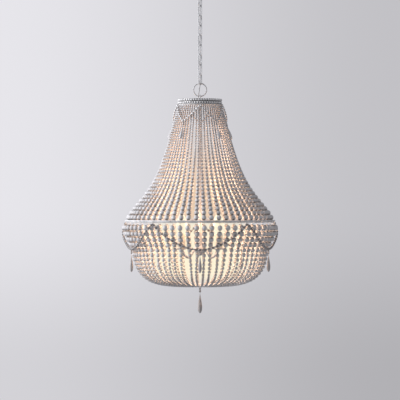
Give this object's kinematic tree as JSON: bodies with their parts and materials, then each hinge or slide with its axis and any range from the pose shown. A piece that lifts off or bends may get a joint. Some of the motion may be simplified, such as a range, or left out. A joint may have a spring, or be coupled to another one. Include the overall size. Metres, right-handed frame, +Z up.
{
  "type": "beaded chandelier",
  "caption": "Chain-hung basket chandelier of whitewashed wooden bead strands on a ring frame, with two beaded garlands of drops, a finial below and candle bulbs inside.",
  "frame": {"origin": "the middle of the ceiling strap's upper face, on the ceiling", "axes": "+Z up to the ceiling, -Y towards the viewer, +X to the viewer's right"},
  "size_m": [0.5037, 0.5081, 1.0844],
  "materials": {
    "whitewashed_iron": "matt whitewash worn through to the dark iron where pieces rub",
    "whitewashed_wood": "matt whitewash over pale wood, slightly worn",
    "greyed_wood": "matt grey-brown wash over wood",
    "candle_sleeve": "matt ivory",
    "bulb_glass": "frosted, lit warm white",
    "cord_sheath": "matt dark sheath",
    "plated_steel": "zinc-plated"
  },
  "bodies": {
    "ceiling_mount": {"ceiling_strap": "plated_steel", "canopy_loop": "whitewashed_iron", "supply_cord": "cord_sheath"},
    "canopy": {"canopy": "whitewashed_iron"},
    "collar": {"canopy_collar": "whitewashed_iron"},
    "link_1": {"chain_link_1": "whitewashed_iron"},
    "link_2": {"chain_link_2": "whitewashed_iron"},
    "link_3": {"chain_link_3": "whitewashed_iron"},
    "link_4": {"chain_link_4": "whitewashed_iron"},
    "link_5": {"chain_link_5": "whitewashed_iron"},
    "link_6": {"chain_link_6": "whitewashed_iron"},
    "link_7": {"chain_link_7": "whitewashed_iron"},
    "link_8": {"chain_link_8": "whitewashed_iron"},
    "link_9": {"chain_link_9": "whitewashed_iron"},
    "hanging_ring": {"hanging_ring": "whitewashed_iron"},
    "shade": {"crown_loop": "whitewashed_iron", "crown_frame": "whitewashed_iron", "crown_beads_lower": "whitewashed_wood", "crown_beads_upper": "whitewashed_wood", "centre_stem": "whitewashed_iron", "lamp_hub": "whitewashed_iron", "stem_nut": "whitewashed_iron", "lamp_arm_1": "whitewashed_iron", "lamp_socket_1": "candle_sleeve", "lamp_arm_2": "whitewashed_iron", "lamp_socket_2": "candle_sleeve", "lamp_arm_3": "whitewashed_iron", "lamp_socket_3": "candle_sleeve", "lamp_arm_4": "whitewashed_iron", "lamp_socket_4": "candle_sleeve", "waist_ring": "whitewashed_iron", "bottom_ring": "whitewashed_iron", "crown_garland": "whitewashed_wood", "waist_garland": "greyed_wood", "upper_strands_1": "whitewashed_wood", "lower_strands_1": "whitewashed_wood", "upper_strands_2": "whitewashed_wood", "lower_strands_2": "whitewashed_wood", "upper_strands_3": "whitewashed_wood", "lower_strands_3": "whitewashed_wood", "upper_strands_4": "whitewashed_wood", "lower_strands_4": "whitewashed_wood", "upper_strands_5": "whitewashed_wood", "lower_strands_5": "whitewashed_wood"},
    "bulb_1": {"bulb_1": "bulb_glass"},
    "bulb_2": {"bulb_2": "bulb_glass"},
    "bulb_3": {"bulb_3": "bulb_glass"},
    "bulb_4": {"bulb_4": "bulb_glass"},
    "crown_drop_1": {"crown_drop_1": "whitewashed_wood"},
    "crown_drop_2": {"crown_drop_2": "whitewashed_wood"},
    "crown_drop_3": {"crown_drop_3": "whitewashed_wood"},
    "crown_drop_4": {"crown_drop_4": "whitewashed_wood"},
    "crown_drop_5": {"crown_drop_5": "whitewashed_wood"},
    "waist_drop_1": {"waist_drop_1": "greyed_wood"},
    "waist_drop_2": {"waist_drop_2": "greyed_wood"},
    "waist_drop_3": {"waist_drop_3": "greyed_wood"},
    "waist_drop_4": {"waist_drop_4": "greyed_wood"},
    "waist_drop_5": {"waist_drop_5": "greyed_wood"},
    "finial": {"finial": "greyed_wood"}
  },
  "joints": [
    {"name": "canopy_drop", "type": "slide", "parent": "ceiling_mount", "child": "canopy", "axis": [0, 0, -1], "range_m": [0, 0.018]},
    {"name": "collar_turn", "type": "hinge", "parent": "canopy", "child": "collar", "pos_m": [0, 0, -0.0358], "axis": [0, 0, -1], "range_deg": [0, 1080]},
    {"name": "chain_swing_1", "type": "hinge", "parent": "ceiling_mount", "child": "link_1", "pos_m": [0, 0, -0.06325], "axis": [0.7071, -0.7071, 0], "range_deg": [-8, 8], "deforming": ["supply_cord"]},
    {"name": "chain_swing_2", "type": "hinge", "parent": "link_1", "child": "link_2", "pos_m": [0, 0, -0.0943], "axis": [0.7071, 0.7071, 0], "range_deg": [-8, 8]},
    {"name": "chain_swing_3", "type": "hinge", "parent": "link_2", "child": "link_3", "pos_m": [0, 0, -0.1259], "axis": [0.7071, -0.7071, 0], "range_deg": [-8, 8]},
    {"name": "chain_swing_4", "type": "hinge", "parent": "link_3", "child": "link_4", "pos_m": [0, 0, -0.1575], "axis": [0.7071, 0.7071, 0], "range_deg": [-8, 8]},
    {"name": "chain_swing_5", "type": "hinge", "parent": "link_4", "child": "link_5", "pos_m": [0, 0, -0.1891], "axis": [0.7071, -0.7071, 0], "range_deg": [-8, 8]},
    {"name": "chain_swing_6", "type": "hinge", "parent": "link_5", "child": "link_6", "pos_m": [0, 0, -0.2207], "axis": [0.7071, 0.7071, 0], "range_deg": [-8, 8]},
    {"name": "chain_swing_7", "type": "hinge", "parent": "link_6", "child": "link_7", "pos_m": [0, 0, -0.2523], "axis": [0.7071, -0.7071, 0], "range_deg": [-8, 8]},
    {"name": "chain_swing_8", "type": "hinge", "parent": "link_7", "child": "link_8", "pos_m": [0, 0, -0.2839], "axis": [0.7071, 0.7071, 0], "range_deg": [-8, 8]},
    {"name": "chain_swing_9", "type": "hinge", "parent": "link_8", "child": "link_9", "pos_m": [0, 0, -0.3155], "axis": [0.7071, -0.7071, 0], "range_deg": [-8, 8]},
    {"name": "ring_swing", "type": "hinge", "parent": "link_9", "child": "hanging_ring", "pos_m": [0, 0, -0.3471], "axis": [0.7071, 0.7071, 0], "range_deg": [-8, 8]},
    {"name": "shade_swing", "type": "hinge", "parent": "hanging_ring", "child": "shade", "pos_m": [0, 0, -0.38475], "axis": [1, 0, 0], "range_deg": [-8, 8]},
    {"name": "bulb_turn_1", "type": "hinge", "parent": "shade", "child": "bulb_1", "pos_m": [0.0594, -0.0594, -0.82765], "axis": [0, 0, 1], "range_deg": [0, 900]},
    {"name": "bulb_turn_2", "type": "hinge", "parent": "shade", "child": "bulb_2", "pos_m": [0.0594, 0.0594, -0.82765], "axis": [0, 0, 1], "range_deg": [0, 900]},
    {"name": "bulb_turn_3", "type": "hinge", "parent": "shade", "child": "bulb_3", "pos_m": [-0.0594, 0.0594, -0.82765], "axis": [0, 0, 1], "range_deg": [0, 900]},
    {"name": "bulb_turn_4", "type": "hinge", "parent": "shade", "child": "bulb_4", "pos_m": [-0.0594, -0.0594, -0.82765], "axis": [0, 0, 1], "range_deg": [0, 900]},
    {"name": "crown_drop_1_swing", "type": "hinge", "parent": "shade", "child": "crown_drop_1", "pos_m": [0.05248, -0.07224, -0.46435], "axis": [-0.809, -0.5878, 0], "range_deg": [0, 34]},
    {"name": "crown_drop_2_swing", "type": "hinge", "parent": "shade", "child": "crown_drop_2", "pos_m": [0.08492, 0.02759, -0.46435], "axis": [0.309, -0.9511, 0], "range_deg": [0, 34]},
    {"name": "crown_drop_3_swing", "type": "hinge", "parent": "shade", "child": "crown_drop_3", "pos_m": [0, 0.08929, -0.46435], "axis": [1, 0, 0], "range_deg": [0, 34]},
    {"name": "crown_drop_4_swing", "type": "hinge", "parent": "shade", "child": "crown_drop_4", "pos_m": [-0.08492, 0.02759, -0.46435], "axis": [0.309, 0.9511, 0], "range_deg": [0, 34]},
    {"name": "crown_drop_5_swing", "type": "hinge", "parent": "shade", "child": "crown_drop_5", "pos_m": [-0.05248, -0.07224, -0.46435], "axis": [-0.809, 0.5878, 0], "range_deg": [0, 34]},
    {"name": "waist_drop_1_swing", "type": "hinge", "parent": "shade", "child": "waist_drop_1", "pos_m": [0, -0.23081, -0.87565], "axis": [-1, 0, 0], "range_deg": [-8, 35]},
    {"name": "waist_drop_2_swing", "type": "hinge", "parent": "shade", "child": "waist_drop_2", "pos_m": [0.21951, -0.07132, -0.87565], "axis": [-0.309, -0.9511, 0], "range_deg": [-8, 35]},
    {"name": "waist_drop_3_swing", "type": "hinge", "parent": "shade", "child": "waist_drop_3", "pos_m": [0.13567, 0.18673, -0.87565], "axis": [0.809, -0.5878, 0], "range_deg": [-8, 35]},
    {"name": "waist_drop_4_swing", "type": "hinge", "parent": "shade", "child": "waist_drop_4", "pos_m": [-0.13567, 0.18673, -0.87565], "axis": [0.809, 0.5878, 0], "range_deg": [-8, 35]},
    {"name": "waist_drop_5_swing", "type": "hinge", "parent": "shade", "child": "waist_drop_5", "pos_m": [-0.21951, -0.07132, -0.87565], "axis": [-0.309, 0.9511, 0], "range_deg": [-8, 35]},
    {"name": "finial_swing", "type": "hinge", "parent": "shade", "child": "finial", "pos_m": [0, 0, -1.00108], "axis": [1, 0, 0], "range_deg": [-25, 25]}
  ]
}
